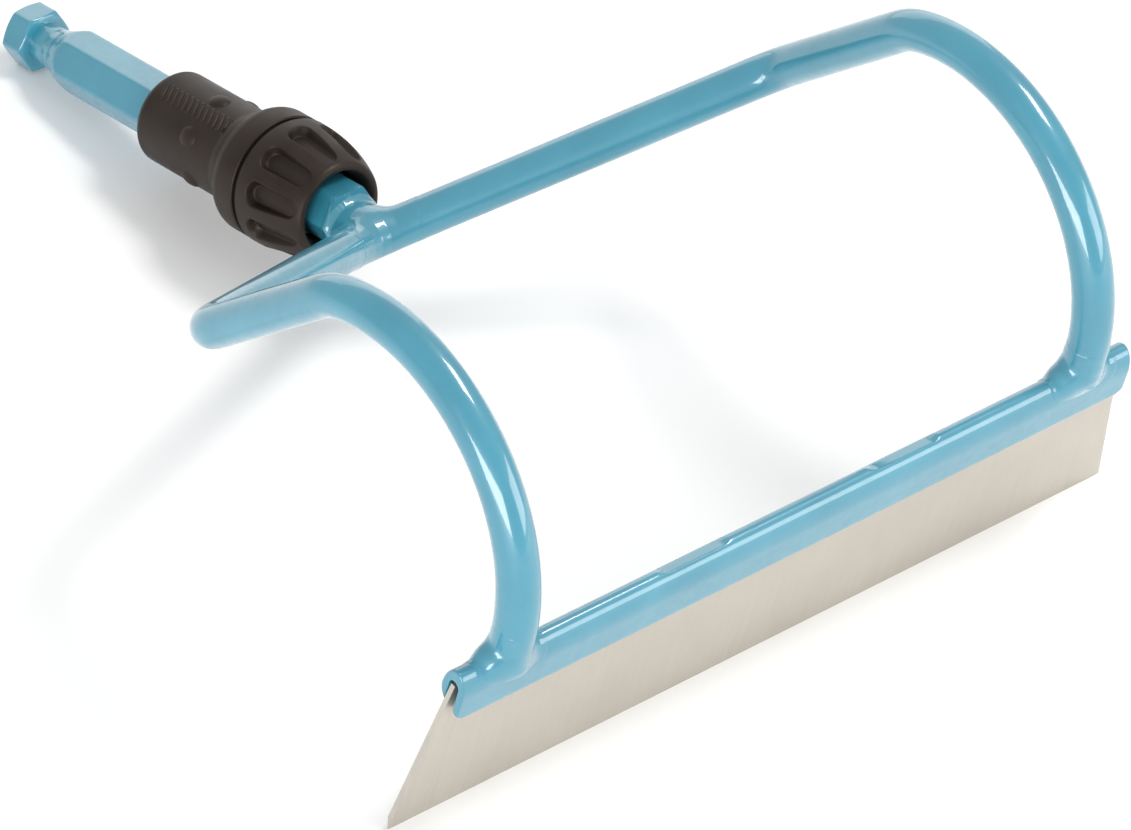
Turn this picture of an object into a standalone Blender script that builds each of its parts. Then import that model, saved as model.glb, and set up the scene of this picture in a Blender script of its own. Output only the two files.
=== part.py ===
# Stirrup hoe head with a clamping coupling. Metres, +Z up.
# Built around the shank: the shank's axis is the Y axis, its tail at +Y, the blade along X.
# At the end the whole tool is tilted to lie on its cutting edge and the tail of its shank.
import math

import bmesh
import bpy
import numpy as np
from mathutils import Vector

# ---- sizes ----------------------------------------------------------------
GAP = 0.0003              # air between two pieces that touch

BAR_R = 0.005             # round bar of the bow
HALF_SPAN = 0.0858        # centre of the tool to the centre of an arm
APEX = (0.0116, -0.0039)  # Y and Z where the two front lines of the V would meet
APEX_BEND = 0.015         # bend radius at the apex
CORNER_BACK = 0.0485      # apex to corner, along Y
CORNER_UP = 0.0326        # apex to corner, along Z
CORNER_BEND = 0.011       # bend radius at a corner
ARM_RISE = 0.574          # slope of an arm above the shank's axis, radians
ARM_LEN = 0.0503          # corner to the start of the arch
ARCH_1_R = 0.0177         # first, tighter bend of the arch
ARCH_1_TURN = 0.367
ARCH_2_R = 0.0477         # second, wider bend
ARCH_2_TURN = 2.32
LEG_STOP = 0.0042         # the bar ends this far from the tube's axis

FOOT_OUT = 0.0145         # tube beyond the centre of an arm
TUBE_SET = (-0.0005, -0.0002)  # tube's axis from the end of the arch, Y and Z
TUBE_A = 0.0062           # the tube's axis to its crown, along the blade
TUBE_B = 0.0035           # half thickness of the flattened tube
SLOT_HALF = 0.0015        # half width of the slot inside
SLOT_TOP = 0.0030         # slot above the tube's axis
LIP_FRONT = 0.0072        # front lip below the tube's axis
LIP_REAR = 0.0050         # rear lip, shorter and turned in against the blade
LIP_ROUND = 0.0005
CRIMP_X = 0.0315          # centre of a crimp
CRIMP_LEN = 0.0190
CRIMP_DEEP = 0.0008

BLADE_T = 0.0016
BLADE_LEAN = 0.352        # blade leans back toward the shank, radians
BLADE_DOWN = 0.0420       # tube axis to the cutting edge
BLADE_IN = 0.0016         # blade above the tube's axis
BLADE_FLARE = 0.0082      # edge longer than the top, each side
BEVEL = 0.0028            # length of the ground bevel
EDGE_T = 0.00025          # thickness left at the cutting edge

HEX_AF = 0.014            # shank across the flats
SHANK_FRONT = 0.0168
FLARE_START = 0.1182
NECK_START = 0.1250
NECK_R = 0.0050
HEAD_START = 0.1310
TAIL = 0.1385
HEAD_CHAMFER = 0.0008

COLLET_WALL = 0.0009      # least wall, at a corner of the hexagon
COLLET_CONE = 0.0008      # growth of the collet's rear cone
COLLET_FRONT = 0.0296
COLLET_BACK = 0.0815
TRAVEL = 0.003            # how far the nut draws the collet
SLEEVE_WALL = 0.0020
SLEEVE_BACK = 0.0826
FLANGE_BACK = 0.0468
FLANGE_FRONT = 0.0415
FLANGE_R = 0.0158
SPIGOT_FRONT = 0.0334
SPIGOT_WALL = 0.0019
DOME_Y = 0.0640
DOME_R = 0.0024
DOME_HIGH = 0.0008
WASHER_T = 0.0009
NUT_FRONT = 0.0208
NUT_FRONT_R = 0.0118
NUT_MOUTH_R = 0.0105
POCKETS = 10
POCKET_HALF = 0.0026
RING_WIRE = 0.0006

# ---- fits that follow from the sizes --------------------------------------
HEX_CORNER = HEX_AF / math.sqrt(3)
COLLET_HEX_AF = HEX_AF + 2 * GAP
COLLET_R = COLLET_HEX_AF / math.sqrt(3) + COLLET_WALL
BORE_R = COLLET_R + GAP
SLEEVE_R = BORE_R + SLEEVE_WALL
SPIGOT_R = BORE_R + SPIGOT_WALL
CONE_R = COLLET_R + COLLET_CONE
SEAT_R = BORE_R + COLLET_CONE
CAVITY_R = SPIGOT_R + GAP
WASHER_FRONT = FLANGE_FRONT - GAP - WASHER_T
NUT_BACK = WASHER_FRONT - GAP
SPAN = 2 * HALF_SPAN
TUBE_HALF = HALF_SPAN + FOOT_OUT

for old in list(bpy.data.objects):
    bpy.data.objects.remove(old, do_unlink=True)

hoe = bpy.data.collections.new("stirrup_hoe")
tools = bpy.data.collections.new("cutters")
bpy.context.scene.collection.children.link(hoe)
bpy.context.scene.collection.children.link(tools)
tools.hide_render = True


def material(name, colour, metallic, roughness):
    made = bpy.data.materials.new(name)
    made.use_nodes = True
    shader = made.node_tree.nodes["Principled BSDF"]
    shader.inputs["Base Color"].default_value = (*colour, 1.0)
    shader.inputs["Metallic"].default_value = metallic
    shader.inputs["Roughness"].default_value = roughness
    return made


def add(name, built, colour=None, metallic=0.0, roughness=0.5):
    """A closed mesh as an object: a piece when it has a colour, otherwise a cutter."""
    bmesh.ops.remove_doubles(built, verts=built.verts, dist=1e-6)
    bmesh.ops.recalc_face_normals(built, faces=built.faces)
    data = bpy.data.meshes.new(name)
    built.to_mesh(data)
    built.free()
    obj = bpy.data.objects.new(name, data)
    if colour is None:
        tools.objects.link(obj)
        obj.hide_render = True
        obj.display_type = "WIRE"
    else:
        hoe.objects.link(obj)
        data.materials.append(material(name, colour, metallic, roughness))
    return obj


def loft(rings, around=False):
    """Skin through rings of points; each ring closes on itself. around joins the last ring to the first."""
    built = bmesh.new()
    made = [[built.verts.new(point) for point in ring] for ring in rings]
    pairs = list(zip(made[:-1], made[1:]))
    if around:
        pairs.append((made[-1], made[0]))
    for one, two in pairs:
        count = len(one)
        for i in range(count):
            j = (i + 1) % count
            built.faces.new((one[i], one[j], two[j], two[i]))
    if not around:
        built.faces.new(made[0])
        built.faces.new(made[-1])
    return built


def turned(profile, count, first=0.0):
    """A closed (radius, y) profile turned round the Y axis."""
    rings = []
    for k in range(count):
        angle = first + 2 * math.pi * k / count
        rings.append([(r * math.cos(angle), y, r * math.sin(angle)) for r, y in profile])
    return loft(rings, around=True)


def sections(stations, count, first=0.0):
    """A solid bar on the Y axis, given as (radius, y) stations, with flat ends."""
    angles = [first + 2 * math.pi * k / count for k in range(count)]
    return loft([[(r * math.cos(a), y, r * math.sin(a)) for a in angles] for r, y in stations])


def prism(outline, x0, x1):
    """An outline of (y, z) points drawn out along X."""
    return loft([[(x, y, z) for y, z in outline] for x in (x0, x1)])


def swept(points, radius, count):
    """A round bar along a line of points."""
    line = [Vector(p) for p in points]
    rings = []
    side = None
    for i, here in enumerate(line):
        along = (line[min(i + 1, len(line) - 1)] - line[max(i - 1, 0)]).normalized()
        if side is None:
            side = along.cross(Vector((1, 0, 0))).normalized()
        side = (side - along * side.dot(along)).normalized()
        other = along.cross(side)
        turn = [2 * math.pi * k / count for k in range(count)]
        rings.append([here + radius * (math.cos(t) * side + math.sin(t) * other) for t in turn])
    return loft(rings)


def combine(obj, other, how):
    step = obj.modifiers.new(how.title(), "BOOLEAN")
    step.operation = how
    step.solver = "EXACT"
    step.object = other


# ---- the bow's centre line ------------------------------------------------
def rounded(before, corner, after, radius, count):
    """Points of a bend of this radius where two straight lines meet."""
    before, corner, after = Vector(before), Vector(corner), Vector(after)
    one = (before - corner).normalized()
    two = (after - corner).normalized()
    half = one.angle(two) / 2
    reach = radius / math.tan(half)
    centre = corner + (one + two).normalized() * radius / math.sin(half)
    start = corner + one * reach - centre
    stop = corner + two * reach - centre
    full = start.angle(stop)
    bend = []
    for i in range(count):
        t = i / (count - 1)
        bend.append(centre + (start * math.sin((1 - t) * full) + stop * math.sin(t * full)) / math.sin(full))
    return bend


def arc(point, heading, radius, turn, count):
    """Points of an arc in the plane of the Y and Z axes, bending down from a rising heading."""
    points = []
    for i in range(1, count + 1):
        t = turn * i / count
        dy = radius * (math.sin(heading) - math.sin(heading - t))
        dz = radius * (math.cos(heading - t) - math.cos(heading))
        # heading is measured up from -Y; the arc's centre lies below the line
        forward = radius * (math.sin(t - heading) + math.sin(heading))
        points.append((point[0], point[1] - forward, point[2] + dz))
    return points, heading - turn


def half_bow(sign):
    """Centre line from the apex to the foot on one side, and the height of the tube's axis."""
    apex = (0.0, APEX[0], APEX[1])
    corner = (sign * HALF_SPAN, APEX[0] - CORNER_BACK, APEX[1] + CORNER_UP)
    mirror = (-sign * HALF_SPAN, corner[1], corner[2])
    knee = (corner[0], corner[1] - ARM_LEN * math.cos(ARM_RISE), corner[2] + ARM_LEN * math.sin(ARM_RISE))
    bend = rounded(mirror, apex, corner, APEX_BEND, 15)[7:]
    points = [tuple(p) for p in bend]
    points += [tuple(p) for p in rounded(apex, corner, knee, CORNER_BEND, 10)]
    points.append(knee)
    first, heading = arc(knee, ARM_RISE, ARCH_1_R, ARCH_1_TURN, 4)
    points += first
    second, heading = arc(first[-1], heading, ARCH_2_R, ARCH_2_TURN, 22)
    points += second
    foot = Vector(points[-1])
    # the last stretch runs straight down to the tube
    down = Vector((0, -math.cos(heading), math.sin(heading)))
    points[-1] = tuple(foot - down * LEG_STOP)
    return points, (foot.y + TUBE_SET[0], foot.z + TUBE_SET[1]), down


right, tube_at, leg_way = half_bow(1)
left = half_bow(-1)[0]
centre_line = list(reversed(left)) + right[1:]

bow = add("bow", swept(centre_line, BAR_R, 20), (0.08, 0.36, 0.47), 0.0, 0.3)
room_line = [tuple(Vector(centre_line[0]) + leg_way * 0.003)] + centre_line[1:-1]
room_line += [tuple(Vector(centre_line[-1]) + leg_way * 0.003)]
bow_room = add("bow_room", swept(room_line, BAR_R + GAP, 20))

# ---- blade tube -----------------------------------------------------------
lean = Vector((0, math.sin(BLADE_LEAN), -math.cos(BLADE_LEAN)))      # down the blade
face = Vector((0, math.cos(BLADE_LEAN), math.sin(BLADE_LEAN)))       # toward the shank


def place(down, back):
    """(y, z) of a point measured from the tube's axis, down the blade and toward the shank."""
    point = lean * down + face * back
    return (tube_at[0] + point.y, tube_at[1] + point.z)


def tube_outside(grow):
    """From the front lip, up the front wall, over the crown and down to the rear lip."""
    deep, thick = TUBE_A + grow, TUBE_B + grow
    front_lip, rear_lip = LIP_FRONT + grow, LIP_REAR + grow
    points = [place(front_lip, -thick + LIP_ROUND), place(front_lip - LIP_ROUND, -thick)]
    for i in range(17):
        angle = math.pi * i / 16
        points.append(place(-deep * math.sin(angle), -thick * math.cos(angle)))
    for i in range(1, 5):
        share = i / 4
        back = thick * math.sqrt(1 - (share * rear_lip / (1.22 * rear_lip)) ** 2)
        points.append(place(share * rear_lip, back))
    return points


outline = tube_outside(0)
outline.append(place(LIP_REAR, SLOT_HALF))
for i in range(9):
    angle = math.pi * i / 8
    crown = SLOT_TOP - SLOT_HALF
    outline.append(place(-crown - SLOT_HALF * math.sin(angle), SLOT_HALF * math.cos(angle)))
outline.append(place(LIP_FRONT, -SLOT_HALF))
blade_tube = add("blade_tube", prism(outline, -TUBE_HALF, TUBE_HALF), (0.08, 0.36, 0.47), 0.0, 0.3)

for sign in (-1, 1):
    level = TUBE_A - CRIMP_DEEP
    half = CRIMP_LEN / 2
    flat = [place(-level, -TUBE_B), place(-level, TUBE_B), place(-TUBE_A - 0.002, TUBE_B), place(-TUBE_A - 0.002, -TUBE_B)]
    crimp = add(f"crimp_{sign}", prism(flat, sign * CRIMP_X - half, sign * CRIMP_X + half))
    combine(blade_tube, crimp, "DIFFERENCE")

tube_room = add("tube_room", prism(tube_outside(GAP * 1.1), -TUBE_HALF - 0.01, TUBE_HALF + 0.01))
combine(bow, tube_room, "DIFFERENCE")

# ---- blade ----------------------------------------------------------------
rear = SLOT_HALF - GAP
front = rear - BLADE_T
top_half = TUBE_HALF - 0.0004
edge_half = TUBE_HALF + BLADE_FLARE


def blade_half(down):
    return top_half + (edge_half - top_half) * (down + BLADE_IN) / (BLADE_DOWN + BLADE_IN)


rings = []
for down, near, far in (
    (-BLADE_IN, front, rear),
    (BLADE_DOWN - BEVEL, front, rear),
    (BLADE_DOWN, front, front + EDGE_T),
):
    x = blade_half(down)
    near_at, far_at = place(down, near), place(down, far)
    rings.append([(-x, *near_at), (x, *near_at), (x, *far_at), (-x, *far_at)])
blade = add("blade", loft(rings), (0.62, 0.58, 0.54), 1.0, 0.35)

# ---- shank ----------------------------------------------------------------
corner = HEX_CORNER
shank = add("shank", sections([(corner, SHANK_FRONT), (corner, TAIL)], 6), (0.08, 0.36, 0.47), 0.0, 0.3)
far = corner + 0.004
groove = [
    (far, FLARE_START - 0.004 * 0.6),
    (corner + 0.0001, FLARE_START),
    (NECK_R + 0.0018, NECK_START - 0.0032),
    (NECK_R + 0.0005, NECK_START - 0.0012),
    (NECK_R, NECK_START),
    (NECK_R, HEAD_START),
    (HEX_AF / 2 - 0.0003, HEAD_START),
    (corner + 0.0001, HEAD_START + HEAD_CHAMFER),
    (far, HEAD_START + HEAD_CHAMFER),
]
combine(shank, add("neck_cut", turned(groove, 36, 0.03)), "DIFFERENCE")
chamfer = [
    (HEX_AF / 2 - 0.0003, TAIL + 0.001),
    (HEX_AF / 2 - 0.0003, TAIL),
    (corner + 0.0001, TAIL - HEAD_CHAMFER),
    (far, TAIL - HEAD_CHAMFER),
    (far, TAIL + 0.001),
]
combine(shank, add("tail_cut", turned(chamfer, 36, 0.03)), "DIFFERENCE")

# ---- welds ----------------------------------------------------------------
shank_room = add("shank_room", sections([(corner + GAP * 1.2, SHANK_FRONT - GAP), (corner + GAP * 1.2, TAIL)], 6))
tip = APEX[0] - 0.0035
blob = [
    (0.0040, tip),
    (0.0064, tip + 0.0012),
    (0.0078, tip + 0.0035),
    (0.0085, SHANK_FRONT - 0.0020),
    (corner + 0.0009, SHANK_FRONT),
    (corner + 0.0006, SHANK_FRONT + 0.0012),
]
weld_neck = add("weld_neck", sections(blob, 28), (0.08, 0.36, 0.47), 0.0, 0.3)
combine(weld_neck, shank_room, "DIFFERENCE")
combine(weld_neck, bow_room, "DIFFERENCE")

leg_side = Vector((1, 0, 0))
leg_front = leg_way.cross(leg_side)
for sign, name in ((-1, "weld_left"), (1, "weld_right")):
    base = Vector((sign * HALF_SPAN, tube_at[0], tube_at[1]))
    grow = BAR_R / 0.005
    rings = []
    for up, outer_side, inner_side, deep in (
        (0.0040, 0.0088, 0.0084, 0.0056),
        (0.0060, 0.0080, 0.0072, 0.0061),
        (0.0085, 0.0067, 0.0063, 0.0060),
        (0.0110, 0.0059, 0.0058, 0.0057),
        (0.0130, 0.0055, 0.0055, 0.0055),
    ):
        ring = []
        for i in range(28):
            t = 2 * math.pi * i / 28
            wide = outer_side if math.cos(t) * sign > 0 else inner_side
            ring.append(base - leg_way * up + (leg_side * wide * math.cos(t) + leg_front * deep * math.sin(t)) * grow)
        rings.append(ring)
    weld = add(name, loft(rings), (0.08, 0.36, 0.47), 0.0, 0.3)
    combine(weld, tube_room, "DIFFERENCE")
    combine(weld, bow_room, "DIFFERENCE")

# ---- clamp sleeve ---------------------------------------------------------
blend = 0.0085
profile = [(BORE_R, SPIGOT_FRONT), (SPIGOT_R, SPIGOT_FRONT), (SPIGOT_R, FLANGE_FRONT), (FLANGE_R - 0.0003, FLANGE_FRONT), (FLANGE_R, FLANGE_FRONT + 0.0003)]
profile.append((FLANGE_R, FLANGE_BACK - 0.0005))
for i in range(1, 8):
    t = i / 8
    rise = 0.5 + 0.5 * math.cos(math.pi * t)
    profile.append((SLEEVE_R + (FLANGE_R - SLEEVE_R) * rise, FLANGE_BACK + blend * t))
profile += [
    (SLEEVE_R, FLANGE_BACK + blend),
    (SLEEVE_R - 0.0002, SLEEVE_BACK - 0.0016),
    (SLEEVE_R - 0.0005, SLEEVE_BACK - 0.0004),
    (SLEEVE_R - 0.0009, SLEEVE_BACK),
    (SEAT_R, SLEEVE_BACK),
    (SEAT_R, COLLET_BACK - 0.0075),
    (BORE_R, COLLET_BACK - 0.0105),
]
sleeve = add("clamp_sleeve", turned(profile, 48, 0.02), (0.022, 0.018, 0.016), 0.0, 0.5)
# the snap ring's seat round the spigot
ring_y = SPIGOT_FRONT + 0.0022
ring_r = SPIGOT_R - RING_WIRE * 0.35
seat = [(SPIGOT_R - 0.0011, ring_y - 0.0010), (SPIGOT_R + 0.002, ring_y - 0.0010), (SPIGOT_R + 0.002, ring_y + 0.0010), (SPIGOT_R - 0.0011, ring_y + 0.0010)]
combine(sleeve, add("ring_seat", turned(seat, 40, 0.01)), "DIFFERENCE")
for k in range(6):
    angle = math.pi / 2 + k * math.pi / 3
    out = Vector((math.cos(angle), 0, math.sin(angle)))
    across = Vector((-math.sin(angle), 0, math.cos(angle)))
    rings = []
    for high, wide in ((-0.0010, 1.0), (0.0, 0.96), (0.45, 0.82), (0.8, 0.55), (1.0, 0.2)):
        lift = high if high < 0 else high * DOME_HIGH
        ring = []
        for i in range(12):
            t = 2 * math.pi * i / 12
            spread = across * DOME_R * wide * math.cos(t) + Vector((0, DOME_R * wide * math.sin(t), 0))
            ring.append(Vector((0, DOME_Y, 0)) + out * (SLEEVE_R - 0.0003 + lift) + spread)
        rings.append(ring)
    combine(sleeve, add(f"dome_{k}", loft(rings)), "UNION")

# ---- collet, hidden in the sleeve -----------------------------------------
cone_back = COLLET_BACK
profile = [
    (COLLET_R - 0.0005, COLLET_FRONT),
    (COLLET_R, COLLET_FRONT + 0.0005),
    (COLLET_R, cone_back - 0.0070),
    (CONE_R, cone_back - 0.0040),
    (CONE_R, cone_back),
]
collet = add("collet", sections(profile, 48), (0.16, 0.16, 0.17), 0.0, 0.5)
hex_bore = sections([(COLLET_HEX_AF / math.sqrt(3), COLLET_FRONT - 0.001), (COLLET_HEX_AF / math.sqrt(3), cone_back + 0.001)], 6)
combine(collet, add("hex_bore", hex_bore), "DIFFERENCE")
slit = bmesh.new()
bmesh.ops.create_cube(slit, size=1.0)
for vert in slit.verts:
    vert.co = Vector((vert.co.x * 0.06, cone_back - 0.010 + vert.co.y * 0.030, vert.co.z * 0.0012))
combine(collet, add("slit", slit), "DIFFERENCE")

# ---- thrust washer and snap ring ------------------------------------------
inner = SPIGOT_R + GAP
outer = FLANGE_R - 0.0007
ring = [(inner, WASHER_FRONT), (outer, WASHER_FRONT), (outer, WASHER_FRONT + WASHER_T), (inner, WASHER_FRONT + WASHER_T)]
washer = add("thrust_washer", turned(ring, 48), (0.03, 0.028, 0.026), 0.0, 0.4)

rings = []
for i in range(41):
    angle = math.radians(20 + 320 * i / 40)
    centre = Vector((ring_r * math.cos(angle), ring_y, ring_r * math.sin(angle)))
    out = Vector((math.cos(angle), 0, math.sin(angle)))
    turn = [2 * math.pi * k / 8 for k in range(8)]
    rings.append([centre + RING_WIRE * (math.cos(t) * out + math.sin(t) * Vector((0, 1, 0))) for t in turn])
snap_ring = add("snap_ring", loft(rings), (0.5, 0.5, 0.5), 1.0, 0.3)

# ---- grip nut -------------------------------------------------------------
thread_front = COLLET_FRONT - TRAVEL - 2 * GAP
cavity_front = SPIGOT_FRONT - 2 * GAP
pocket_r = SPIGOT_R + 0.0009


def nut_radius(y):
    t = (NUT_BACK - y) / (NUT_BACK - NUT_FRONT)
    return FLANGE_R + 0.0001 - (FLANGE_R - NUT_FRONT_R) * t ** 2.3


profile = [(CAVITY_R, NUT_BACK), (FLANGE_R - 0.0003, NUT_BACK)]
for i in range(1, 11):
    y = NUT_BACK - 0.0003 - (NUT_BACK - NUT_FRONT - 0.0008) * (i - 1) / 9
    profile.append((nut_radius(y), y))
profile += [
    (NUT_FRONT_R - 0.0004, NUT_FRONT),
    (NUT_MOUTH_R, NUT_FRONT),
    (HEX_CORNER + 0.0010, NUT_FRONT + 0.0028),
    (HEX_CORNER + 0.0010, thread_front),
    (BORE_R, thread_front),
    (BORE_R, cavity_front),
    (CAVITY_R, cavity_front),
    (CAVITY_R, ring_y - 0.0011),
    (pocket_r, ring_y - 0.0011),
    (pocket_r, ring_y + 0.0011),
    (CAVITY_R, ring_y + 0.0011),
]
nut = add("grip_nut", turned(profile, 60), (0.022, 0.018, 0.016), 0.0, 0.5)

pocket_front = NUT_FRONT + 0.0013
pocket_back = NUT_BACK - 0.0046
floor_back = FLANGE_R - 0.0022
floor_front = NUT_FRONT_R + 0.0003
for k in range(POCKETS):
    angle = math.pi / 2 + 2 * math.pi * k / POCKETS
    out = Vector((math.cos(angle), 0, math.sin(angle)))
    across = Vector((-math.sin(angle), 0, math.cos(angle)))
    rings = []
    for level in (0, 1):
        ring = []
        wide = POCKET_HALF * (0.72 if level == 0 else 1.35)
        trim = 0.0007 if level == 0 else -0.0007
        y0, y1 = pocket_front + POCKET_HALF + trim * 0.4, pocket_back - POCKET_HALF - trim
        for i in range(14):
            t = 2 * math.pi * (i + 0.5) / 14
            end = y1 if math.sin(t) > 0 else y0
            y = end + POCKET_HALF * math.sin(t)
            share = (y - pocket_front) / (pocket_back - pocket_front)
            base = floor_front + (floor_back - floor_front) * share
            radius = base if level == 0 else base + 0.0055
            ring.append(out * radius + across * wide * math.cos(t) + Vector((0, y, 0)))
        rings.append(ring)
    combine(nut, add(f"pocket_{k}", loft(rings)), "DIFFERENCE")

# ---- rest pose: on the cutting edge and the tail ---------------------------
edge_at = place(BLADE_DOWN, front)
tail_at = (TAIL, -HEX_AF / 2)
tilt = math.atan2(tail_at[1] - edge_at[1], tail_at[0] - edge_at[0])
rest = bpy.data.objects.new("rest", None)
hoe.objects.link(rest)
rest.rotation_euler = (-tilt, 0, 0)
for obj in list(hoe.objects) + list(tools.objects):
    if obj is not rest:
        obj.parent = rest
bpy.context.view_layer.update()
low, high = [], []
view = bpy.context.evaluated_depsgraph_get()
for obj in hoe.objects:
    if obj.type == "MESH":
        seen = obj.evaluated_get(view)
        points = np.array([tuple(seen.matrix_world @ v.co) for v in seen.data.vertices])
        low.append(points.min(0))
        high.append(points.max(0))
low, high = np.min(low, 0), np.max(high, 0)
rest.location = (-(low[0] + high[0]) / 2, -(low[1] + high[1]) / 2, -low[2])
bpy.context.view_layer.update()
print("tilt in degrees", math.degrees(-tilt), "moved", tuple(rest.location))
print("tube axis", tube_at, "size", tuple(high - low))
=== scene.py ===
import math

import bpy
import numpy as np
from mathutils import Matrix, Vector


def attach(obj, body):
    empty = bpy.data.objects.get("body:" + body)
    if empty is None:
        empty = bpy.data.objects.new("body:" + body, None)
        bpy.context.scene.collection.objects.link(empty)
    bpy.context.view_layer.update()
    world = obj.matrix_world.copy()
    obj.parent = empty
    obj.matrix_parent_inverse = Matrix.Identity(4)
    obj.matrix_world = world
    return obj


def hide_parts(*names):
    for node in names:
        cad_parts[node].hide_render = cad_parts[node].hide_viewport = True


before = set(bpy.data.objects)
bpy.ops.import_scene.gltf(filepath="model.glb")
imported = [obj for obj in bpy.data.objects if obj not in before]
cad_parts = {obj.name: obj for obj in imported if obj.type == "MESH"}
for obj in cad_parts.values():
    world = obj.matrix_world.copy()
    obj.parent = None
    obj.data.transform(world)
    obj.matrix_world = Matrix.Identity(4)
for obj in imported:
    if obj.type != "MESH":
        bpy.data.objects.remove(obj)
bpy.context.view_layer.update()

# Everything is worked out round the shank: its axis is Y with the tail at +Y, the blade lies
# along X. rest then lays the hoe on its cutting edge and the tail of its shank.
rest = {"tilt": -9.919894663, "move": (0.0, 0.004358366, 0.030754898)}
restTurn = np.array(Matrix.Rotation(math.radians(rest["tilt"]), 3, "X"))
restMove = np.array(rest["move"])


# Quads between neighbouring points of a grid numbered row by row; either way round may close.
def gridFaces(rows, cols, wrapRows=False, wrapCols=True):
    r = np.arange(rows if wrapRows else rows - 1)[:, None]
    c = np.arange(cols if wrapCols else cols - 1)[None, :]
    r2, c2 = (r + 1) % rows, (c + 1) % cols
    return np.stack([r * cols + c, r * cols + c2, r2 * cols + c2, r2 * cols + c], -1).reshape(-1, 4)


# Rings skinned one to the next, with a fan from the first ring to one pole and from the last to the other.
def poled(rings, firstPole, lastPole):
    rows, cols = rings.shape[:2]
    points = np.vstack([rings.reshape(-1, 3), firstPole, lastPole])
    ring = np.arange(cols)
    after = (ring + 1) % cols
    last = (rows - 1) * cols
    front = np.stack([after, ring, np.full(cols, rows * cols)], 1)
    back = np.stack([last + ring, last + after, np.full(cols, rows * cols + 1)], 1)
    return points, gridFaces(rows, cols), np.vstack([front, back])


# The same with each pole in the middle of its ring.
def fanned(rings):
    return poled(rings, rings[0].mean(0), rings[-1].mean(0))


# The same for outlines folded like a hairpin: an end is closed with quads across the fold.
def hairpin(rings):
    rows, cols = rings.shape[:2]
    k = np.arange(cols // 2 - 1)
    cap = np.stack([k, k + 1, cols - 2 - k, cols - 1 - k], 1)
    faces = np.vstack([gridFaces(rows, cols), cap[:, ::-1], cap + (rows - 1) * cols])
    return rings.reshape(-1, 3), faces, np.zeros((0, 3), int)


# Rings that close on themselves both ways, like a torus.
def looped(rings):
    rows, cols = rings.shape[:2]
    return rings.reshape(-1, 3), gridFaces(rows, cols, True), np.zeros((0, 3), int)


# Six times the volume: each triangle's corners multiplied out, so a wrong-way shell is negative.
def sixVolumes(points, quads, tris):
    corners = np.vstack([quads[:, [0, 1, 2]], quads[:, [0, 2, 3]], tris])
    a, b, c = (points[corners[:, i]] - points.mean(0) for i in range(3))
    return float(np.einsum("ij,ij->i", a, np.cross(b, c)).sum())


# One piece from closed shells: laid in the rest pose, facing outwards, riding on its body.
def makePiece(name, shells, material, body, node, sharp=38):
    points, faces, count = [], [], 0
    for spots, quads, tris in shells:
        if sixVolumes(spots, quads, tris) < 0:
            quads, tris = quads[:, ::-1], tris[:, ::-1]
        points.append(spots @ restTurn.T + restMove)
        faces += (quads + count).tolist() + (tris + count).tolist()
        count += len(spots)
    mesh = bpy.data.meshes.new(name)
    mesh.from_pydata(np.vstack(points).tolist(), [], faces)
    mesh.polygons.foreach_set("use_smooth", np.ones(len(mesh.polygons), bool))
    mesh.set_sharp_from_angle(angle=math.radians(sharp))
    mesh.materials.append(material)
    mesh.validate()
    piece = bpy.data.objects.new(name, mesh)
    bpy.context.scene.collection.objects.link(piece)
    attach(piece, body)
    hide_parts(node)
    print(f"{name}: {len(mesh.polygons)} faces")
    return piece


# The smaller of two numbers with the corner between them eased over the width ease.
def softMin(a, b, ease):
    h = np.maximum(ease - np.abs(a - b), 0) / ease
    return np.minimum(a, b) - h * h * ease / 4


def softMax(a, b, ease):
    return -softMin(-a, -b, ease)


# 0 before start, 1 after stop, 3t^2 - 2t^3 between.
def easeStep(value, start, stop):
    t = np.clip((value - start) / (stop - start), 0, 1)
    return t * t * (3 - 2 * t)


def unit(vector):
    return vector / np.linalg.norm(vector, axis=-1, keepdims=True)


# Radius of a regular hexagon with flats facing up and down, its corners rounded off.
def hexRadius(angle, acrossFlats, ease):
    sector = np.mod(angle, math.pi / 3) - math.pi / 6
    flat = acrossFlats / 2 / np.cos(sector)
    return softMin(flat, acrossFlats / math.sqrt(3) - ease * 0.4, ease)


# Points at these radii and angles round the Y axis: x = r cos a, z = r sin a.
def aroundAxis(radius, angle, y):
    radius, angle, y = np.broadcast_arrays(radius, angle, y)
    return np.stack([radius * np.cos(angle), y, radius * np.sin(angle)], -1)


# An outline's points repeated for every angle, as a grid of radii and a grid of places along Y.
def everyAngle(outline, count):
    return np.repeat(outline[None, :, 0], count, 0), np.repeat(outline[None, :, 1], count, 0)


# A line of corners with every straight stretch cut into steps no longer than step.
def stepped(corners, step):
    corners = np.asarray(corners, float)
    lengths = np.linalg.norm(np.diff(corners, axis=0), axis=1)
    parts = []
    for a, b, length in zip(corners[:-1], corners[1:], lengths):
        t = np.linspace(0, 1, max(2, int(math.ceil(length / step)) + 1))[:-1, None]
        parts.append(a + (b - a) * t)
    parts.append(corners[-1:])
    return np.vstack(parts)


# A node material with its texture coordinates; the pattern is fixed to the piece.
def startFinish(name, look):
    made = bpy.data.materials.new(name)
    made.use_nodes = True
    tree = made.node_tree
    shader = tree.nodes["Principled BSDF"]
    for socket, value in look.items():
        shader.inputs[socket].default_value = value
    return made, tree, shader, tree.nodes.new("ShaderNodeTexCoord").outputs["Object"]


def addNode(tree, kind, values=None, links=None, **settings):
    node = tree.nodes.new(kind)
    for key, value in settings.items():
        setattr(node, key, value)
    for key, value in (values or {}).items():
        node.inputs[key].default_value = value
    for key, source in (links or {}).items():
        tree.links.new(source, node.inputs[key])
    return node


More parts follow.
